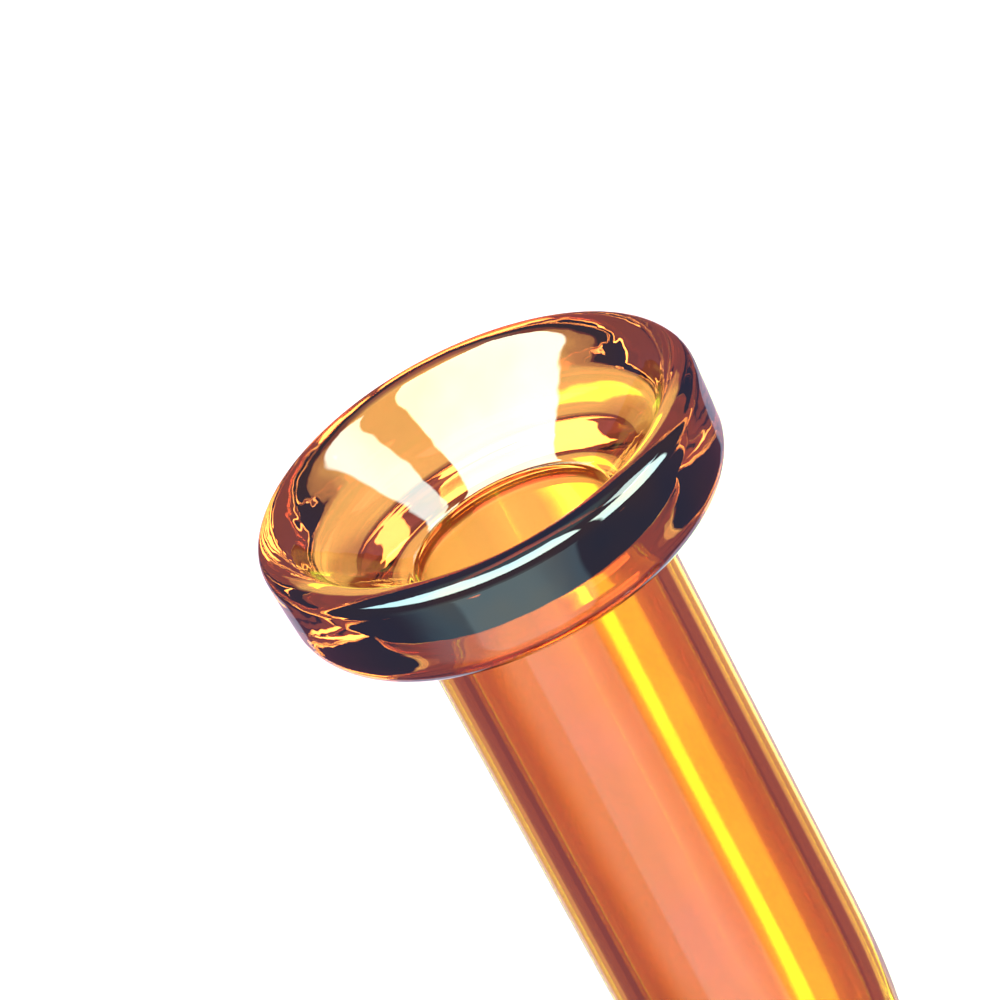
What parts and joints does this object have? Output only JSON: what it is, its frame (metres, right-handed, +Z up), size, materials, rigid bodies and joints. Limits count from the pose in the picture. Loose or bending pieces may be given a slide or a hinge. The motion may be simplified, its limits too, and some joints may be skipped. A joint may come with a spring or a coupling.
{
  "type": "glass water pipe",
  "caption": "Upright glass water pipe with a beaker base, a pinched neck, a flared dished mouthpiece, and a downstem and bowl that pull out of their ground joints.",
  "frame": {"origin": "centre of the foot's underside, on the neck's axis", "axes": "+Z up along the neck's axis; +X towards the side that the stem joint and the bowl lean out on"},
  "size_m": [0.1686, 0.104, 0.3],
  "materials": {
    "amber_glass": "clear amber glass with a fumed, iridescent surface",
    "stem_glass": "clear amber glass, ground matt on the taper",
    "smoke_glass": "darker amber glass with a fumed surface",
    "steel_gauze": "woven steel wire"
  },
  "bodies": {
    "pipe": {"mouthpiece": "amber_glass", "neck_tube": "amber_glass", "beaker_body": "amber_glass", "base_foot": "amber_glass", "stem_socket": "amber_glass"},
    "downstem": {"downstem_joint": "stem_glass", "downstem_tube": "stem_glass"},
    "bowl": {"bowl_joint": "smoke_glass", "bowl_cup": "smoke_glass", "bowl_handle": "smoke_glass"},
    "screen": {"bowl_screen": "steel_gauze"}
  },
  "joints": [
    {"name": "downstem_pull", "type": "slide", "parent": "pipe", "child": "downstem", "axis": [0.7071, 0, 0.7071], "range_m": [0, 0.108]},
    {"name": "bowl_pull", "type": "slide", "parent": "downstem", "child": "bowl", "axis": [0.7071, 0, 0.7071], "range_m": [0, 0.025]},
    {"name": "screen_lift", "type": "slide", "parent": "bowl", "child": "screen", "axis": [0.7071, 0, 0.7071], "range_m": [0, 0.02]}
  ]
}
